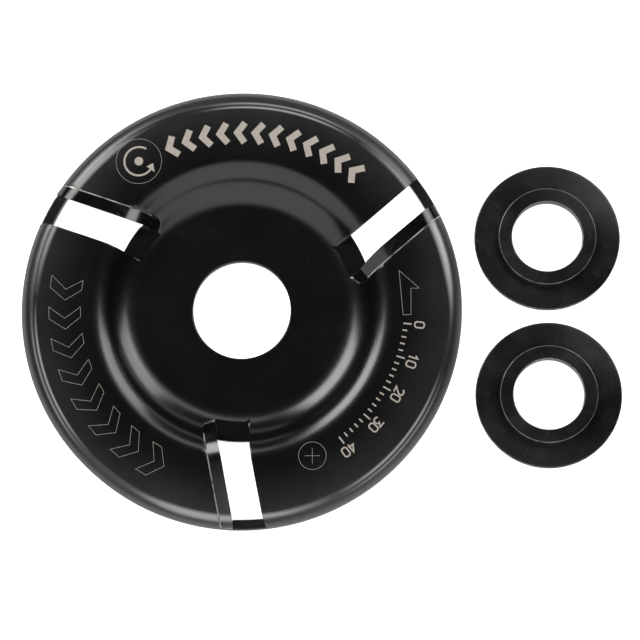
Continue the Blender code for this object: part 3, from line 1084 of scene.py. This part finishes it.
# Finishes: the materials
def new_finish(name):
    """A new material, its nodes and its shader."""
    material = bpy.data.materials.new(name)
    material.use_nodes = True
    tree = material.node_tree
    return material, tree, tree.nodes["Principled BSDF"]


def smeared(tree, grain, low, high):
    """A value that wavers between low and high with the smears in a coat."""
    return ramp(tree, grain["Smears"], *NOISE_SPAN, low, high)


def bump(tree, shader, height, strength, depth=RELIEF_DEPTH):
    """Give a finish a fine relief."""
    node = tree.nodes.new("ShaderNodeBump")
    node.inputs["Strength"].default_value = strength
    node.inputs["Distance"].default_value = depth
    feed(tree, height, node.inputs["Height"])
    feed(tree, node.outputs["Normal"], shader.inputs["Normal"])


def finish(piece, material):
    """Give a piece one finish all over."""
    piece.data.materials.clear()
    piece.data.materials.append(material)


def make_coated_steel():
    """Black coat over turned steel, rougher towards the rim where work rubs it, and paler there with
    a painted sheen and a painted highlight on the shoulder.
    """
    material, tree, shader = new_finish("black_coat_on_steel")
    grain = placed(tree, COAT_GRAIN, Ripple=2000.0, Smear=70.0)
    lathe = placed(tree, TURNED_LINES, Axis=tuple(DISC_AXIS), Pitch=7000.0)
    worn = placed(tree, EDGE_WEAR, Patches=600.0, Bare=0.5)["Worn"]
    scratches = placed(tree, SCUFFS, Fineness=1.0, Cover=0.02)["Scratches"]
    # Painted highlight on the rim's shoulder, as a pale colour
    painted_highlight = placed(tree, PAINTED_RIM_HIGHLIGHT, Strength=1.0)["Painted Highlight"]
    radius = lathe["Radius"]
    above = above_groove(tree, own_axes(tree)["Z"])

    # Painted sheen: the coat paler towards the rim, unevenly
    uneven = ramp(tree, grain["Smears"], start=0.2, end=0.7, low=0.6)
    tone_and_sheen = sums(tree, "MULTIPLY", ramp(tree, radius, *SHEEN_RADII), uneven)
    rim = ramp(tree, radius, DISC_RADIUS - RIM_ROUND, DISC_RADIUS)
    outside = sums(tree, "MAXIMUM", above, rim)
    matt = sums(tree, "MULTIPLY", ramp(tree, radius, MATT_FROM, DISC_RADIUS), outside)
    matt = sums(tree, "MULTIPLY", matt, ramp(tree, grain["Height"], *NOISE_SPAN, low=0.6))
    coat = blended(tree, tone_and_sheen, COAT_BLACK, COAT_PAINTED_SHEEN)
    coat = blended(tree, matt, coat, COAT_MATT)
    # The painted highlight, then real scratches, in one pale grey
    coat = blended(tree, painted_highlight, coat, SCRATCH_AND_HIGHLIGHT_GREY)
    coat = blended(tree, scratches, coat, SCRATCH_AND_HIGHLIGHT_GREY)
    feed(tree, blended(tree, worn, coat, BARE_STEEL), shader.inputs["Base Color"])
    feed(tree, worn, shader.inputs["Metallic"])

    shoulder = ramp(tree, radius, *ROUGHENED_RADII, 0.0, SHOULDER_ROUGHNESS)
    roughness = smeared(tree, grain, low=0.19, high=0.225)
    roughness = sums(tree, "ADD", roughness, sums(tree, "MULTIPLY", matt, MATT_ROUGHNESS))
    roughness = sums(tree, "ADD", roughness, sums(tree, "MULTIPLY", shoulder, above))
    roughness = sums(tree, "ADD", roughness, sums(tree, "MULTIPLY", worn, WORN_ROUGHNESS))
    feed(tree, roughness, shader.inputs["Roughness"])
    lines = sums(tree, "MULTIPLY", lathe["Lines"], LATHE_IN_COAT)
    bump(tree, shader, sums(tree, "ADD", grain["Height"], lines), strength=0.12)
    return material


def make_coated_carbide():
    """Black coat over ground carbide, with fine grinding lines."""
    material, tree, shader = new_finish("black_coat_on_carbide")
    grain = placed(tree, COAT_GRAIN, Ripple=3000.0, Smear=260.0)
    scratches = placed(tree, SCUFFS, Fineness=0.7, Cover=0.12)["Scratches"]
    # Painted highlight where the tip's outer end meets the rim's shoulder
    painted_highlight = placed(tree, PAINTED_RIM_HIGHLIGHT, Strength=1.0)["Painted Highlight"]
    coat = blended(tree, scratches, COAT_BLACK, SCRATCH_AND_HIGHLIGHT_GREY)
    feed(tree, blended(tree, painted_highlight, coat, SCRATCH_AND_HIGHLIGHT_GREY), shader.inputs["Base Color"])
    feed(tree, smeared(tree, grain, low=0.13, high=0.19), shader.inputs["Roughness"])
    bump(tree, shader, sums(tree, "ADD", grain["Height"], scratches), strength=0.15)
    return material


def make_braze():
    """Silver braze under the coat, bright where the coat has thinned."""
    material, tree, shader = new_finish("coated_braze")
    grain = placed(tree, COAT_GRAIN, Ripple=4000.0, Smear=300.0)
    thin = ramp(tree, grain["Smears"], start=0.36, end=0.60)
    feed(tree, blended(tree, thin, BRAZE_COATED, BRAZE_BRIGHT), shader.inputs["Base Color"])
    feed(tree, smeared(tree, grain, low=0.3, high=0.45), shader.inputs["Roughness"])
    feed(tree, thin, shader.inputs["Metallic"])
    bump(tree, shader, grain["Height"], strength=0.2, depth=BRAZE_RELIEF_DEPTH)
    return material


def make_blackened_steel(name, axis):
    """Blackened turned steel, lightly scuffed by handling."""
    material, tree, shader = new_finish(name)
    grain = placed(tree, COAT_GRAIN, Ripple=2600.0, Smear=150.0)
    lathe = placed(tree, TURNED_LINES, Axis=tuple(axis), Pitch=5200.0)
    scratches = placed(tree, SCUFFS, Fineness=0.8, Cover=0.15)["Scratches"]
    worn = placed(tree, EDGE_WEAR, Patches=500.0, Bare=0.6)["Worn"]
    tone_and_sheen = ramp(tree, grain["Smears"], start=0.45, end=0.7, high=0.5)
    faint = sums(tree, "MULTIPLY", scratches, FAINT_SCRATCHES)
    steel = blended(tree, tone_and_sheen, RING_BLACK, RING_DULLED)
    steel = blended(tree, faint, steel, SCRATCH_AND_HIGHLIGHT_GREY)
    feed(tree, blended(tree, worn, steel, BARE_STEEL), shader.inputs["Base Color"])
    feed(tree, worn, shader.inputs["Metallic"])
    feed(tree, smeared(tree, grain, low=0.25, high=0.285), shader.inputs["Roughness"])
    shader.inputs["Anisotropic"].default_value = 0.6
    shader.inputs["Anisotropic Rotation"].default_value = 0.25
    turning = tree.nodes.new("ShaderNodeTangent")
    turning.direction_type = "RADIAL"
    turning.axis = "Z"
    feed(tree, turning.outputs["Tangent"], shader.inputs["Tangent"])
    ripple = sums(tree, "MULTIPLY", grain["Height"], RIPPLE_IN_LATHE)
    bump(tree, shader, sums(tree, "ADD", lathe["Lines"], ripple), strength=0.22)
    return material


def make_etched_tan():
    """Pale tan that a laser leaves where it burns the coat away, grainy and matt."""
    material, tree, shader = new_finish("laser_etched_tan")
    grain = placed(tree, COAT_GRAIN, Ripple=5200.0, Smear=420.0)
    burnt = ramp(tree, grain["Height"], *NOISE_SPAN)
    feed(tree, blended(tree, burnt, ETCHED_DARK, ETCHED_PALE), shader.inputs["Base Color"])
    feed(tree, smeared(tree, grain, low=0.5, high=0.65), shader.inputs["Roughness"])
    bump(tree, shader, grain["Height"], strength=0.2)
    return material


# Studio: lamps, floor and camera
def direction(azimuth, elevation):
    """Unit vector towards an azimuth, anticlockwise from +X, and an elevation, in degrees."""
    a = math.radians(azimuth)
    e = math.radians(elevation)
    return Vector((math.cos(a) * math.cos(e), math.sin(a) * math.cos(e), math.sin(e)))


def softbox(name, azimuth, elevation, wide, tall, radiance, beside=0.0, above=0.0):
    """A rectangular soft lamp facing the disc, with its sizes as angles in degrees.

    It may be moved in its own plane, beside and above, by parts of the studio's radius.
    """
    width = 2 * STUDIO_RADIUS * math.tan(math.radians(wide / 2))
    height = 2 * STUDIO_RADIUS * math.tan(math.radians(tall / 2))
    light = bpy.data.lights.new(name, "AREA")
    light.shape = "RECTANGLE"
    light.size = width
    light.size_y = height
    light.energy = WATTS_PER_RADIANCE * radiance * width * height
    lamp = bpy.data.objects.new(name, light)
    facing = direction(azimuth, elevation).to_track_quat("Z", "Y")
    lamp.location = STUDIO_CENTRE + STUDIO_RADIUS * (facing @ Vector((beside, above, 1.0)))
    lamp.rotation_euler = facing.to_euler()
    lamp.visible_camera = False
    bpy.context.scene.collection.objects.link(lamp)


def make_lights():
    """Two softboxes and two dim strips behind the disc, and a broad dim panel in front of it.

    The panel is two pieces in one plane, because its upper part is narrower.
    """
    softbox("left_softbox", azimuth=138.0, elevation=44.0, wide=26.0, tall=24.0, radiance=8.5)
    softbox("right_softbox", azimuth=39.0, elevation=43.0, wide=28.0, tall=26.0, radiance=4.8)
    panel = {"azimuth": 265.0, "elevation": 51.0, "radiance": 1.2}
    softbox("front_panel", wide=96.0, tall=41.3, above=-0.177, **panel)
    softbox("front_panel_top", wide=73.0, tall=20.1, beside=-0.24, above=0.377, **panel)
    softbox("back_strip", azimuth=66.0, elevation=58.0, wide=46.0, tall=10.0, radiance=1.9)
    softbox("low_back_strip", azimuth=70.0, elevation=25.0, wide=76.0, tall=10.0, radiance=0.75)
    world = bpy.data.worlds.new("studio")
    world.use_nodes = True
    world.node_tree.nodes["Background"].inputs["Color"].default_value = STUDIO_DIMNESS
    bpy.context.scene.world = world


def make_floor():
    """Pale floor that reads white to the camera, dimmer in reflections, and keeps the shadow."""
    bm = bmesh.new()
    bmesh.ops.create_grid(bm, x_segments=1, y_segments=1, size=FLOOR_SIZE / 2)
    bmesh.ops.translate(bm, verts=bm.verts, vec=(0.0, 0.0, -FLOOR_GAP))
    floor = piece_from("floor", bm)
    material, tree, shader = new_finish("floor_white")
    shader.inputs["Base Color"].default_value = FLOOR_COLOUR
    shader.inputs["Roughness"].default_value = FLOOR_ROUGHNESS
    shader.inputs["Emission Color"].default_value = (1.0, 1.0, 1.0, 1.0)
    rays = tree.nodes.new("ShaderNodeLightPath").outputs
    reflected = sums(tree, "MULTIPLY", rays["Is Glossy Ray"], REFLECTED_GLOW)
    seen = sums(tree, "MAXIMUM", rays["Is Camera Ray"], reflected)
    seen = sums(tree, "MAXIMUM", seen, rays["Is Transmission Ray"])
    glow = sums(tree, "MULTIPLY", seen, FLOOR_GLOW)
    feed(tree, glow, shader.inputs["Emission Strength"])
    finish(floor, material)


def make_camera():
    """Long lens from above, tilted as the photograph is, with +Y up in the picture."""
    back = Vector(
        (
            math.sin(CAMERA_AZIMUTH) * math.cos(CAMERA_ELEVATION),
            -math.cos(CAMERA_AZIMUTH) * math.cos(CAMERA_ELEVATION),
            math.sin(CAMERA_ELEVATION),
        )
    )
    up = (Vector((0.0, 1.0, 0.0)) - back * back.y).normalized()
    right = up.cross(back)
    data = bpy.data.cameras.new("camera")
    data.sensor_width = CAMERA_SENSOR_MM
    data.lens = CAMERA_SENSOR_MM * CAMERA_DISTANCE / VIEW_WIDTH
    camera = bpy.data.objects.new("camera", data)
    turn = Matrix((right, up, back)).transposed().to_4x4()
    camera.matrix_world = Matrix.Translation(CAMERA_AIM + back * CAMERA_DISTANCE) @ turn
    bpy.context.scene.collection.objects.link(camera)
    bpy.context.scene.camera = camera


# The whole scene
disc_body = make_disc_body()
tips, brazes = make_tips()
rings = make_rings()
marks = make_marks()
finish(disc_body, make_coated_steel())
coated_carbide = make_coated_carbide()
coated_braze = make_braze()
for tip, braze in zip(tips, brazes):
    finish(tip, coated_carbide)
    finish(braze, coated_braze)
for i, (ring, ring_axis) in enumerate(rings, 1):
    finish(ring, make_blackened_steel(f"blackened_ring_steel_{i}", ring_axis))
finish(marks, make_etched_tan())
make_floor()
make_lights()
make_camera()
bpy.context.scene.view_settings.view_transform = "Standard"
